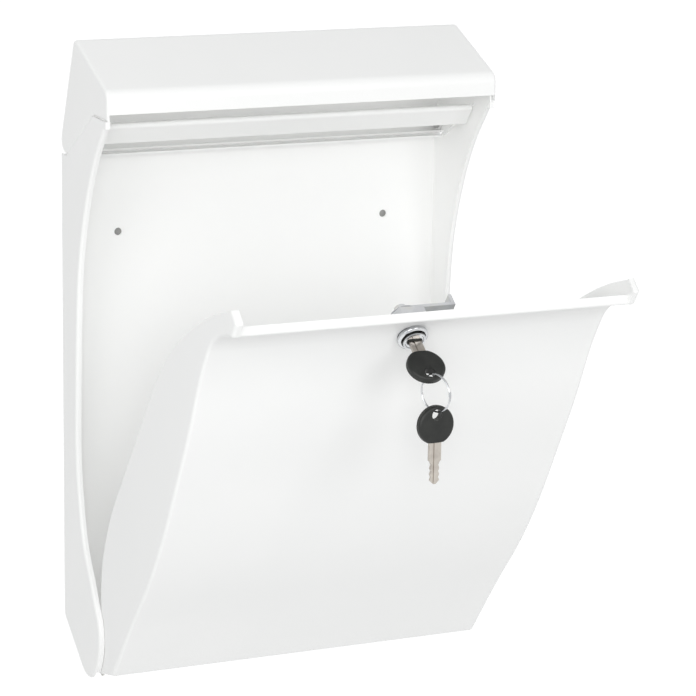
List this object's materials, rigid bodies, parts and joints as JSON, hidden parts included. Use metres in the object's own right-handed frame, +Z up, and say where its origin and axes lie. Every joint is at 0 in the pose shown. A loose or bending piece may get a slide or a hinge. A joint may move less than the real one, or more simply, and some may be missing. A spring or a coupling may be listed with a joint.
{
  "type": "wall mailbox",
  "caption": "White sheet-steel wall mailbox with wave-shaped sides, a lifting hood over the posting slot, a tipping front door, a cam lock, and keys on a ring.",
  "frame": {"origin": "on the wall plane, in the middle of the four wall-screw holes", "axes": "+X to the right of someone facing the mailbox, +Y into the wall, +Z up"},
  "size_m": [0.26, 0.2904, 0.4067],
  "materials": {
    "white_coat": "white powder coat, satin, fine orange peel",
    "zinc_steel": "zinc-plated steel",
    "chrome": "bright nickel-chrome plating",
    "nickel": "nickel-plated key blank",
    "black_plastic": "black moulded plastic, fine grain"
  },
  "bodies": {
    "body": {"back_panel": "white_coat", "side_plate_left": "white_coat", "side_plate_right": "white_coat", "slot_rail": "white_coat", "door_pin_left": "zinc_steel", "door_pin_right": "zinc_steel", "door_clip_left": "zinc_steel", "door_clip_right": "zinc_steel"},
    "hood": {"hood": "white_coat", "hood_pin_left": "zinc_steel", "hood_pin_right": "zinc_steel", "hood_clip_left": "zinc_steel", "hood_clip_right": "zinc_steel"},
    "door": {"door": "white_coat", "lock_housing": "chrome", "lock_washer": "zinc_steel", "lock_nut": "zinc_steel"},
    "plug": {"lock_plug": "chrome", "lock_cam": "zinc_steel", "cam_screw": "zinc_steel", "key_blade": "nickel", "key_bow": "black_plastic"},
    "ring": {"key_ring": "chrome"},
    "spare_key": {"spare_key_blade": "nickel", "spare_key_bow": "black_plastic"}
  },
  "joints": [
    {"name": "hood_lift", "type": "hinge", "parent": "body", "child": "hood", "pos_m": [0, -0.00859, 0.16187], "axis": [-1, 0, 0], "range_deg": [0, 21]},
    {"name": "door_tip", "type": "hinge", "parent": "body", "child": "door", "pos_m": [0, -0.0585, -0.171], "axis": [1, 0, 0], "range_deg": [-35.7, 0]},
    {"name": "key_turn", "type": "hinge", "parent": "door", "child": "plug", "pos_m": [0, -0.24915, 0.07941], "axis": [0, -0.8121, -0.5835], "range_deg": [0, 90]},
    {"name": "ring_swing", "type": "hinge", "parent": "plug", "child": "ring", "pos_m": [0, -0.27319, 0.06213], "axis": [0, -0.5835, 0.8121], "range_deg": [-40, 40]},
    {"name": "spare_swing", "type": "hinge", "parent": "ring", "child": "spare_key", "pos_m": [0.002, -0.27813, 0.04151], "axis": [0.3746, -0.9272, 0], "range_deg": [-30, 30]}
  ]
}
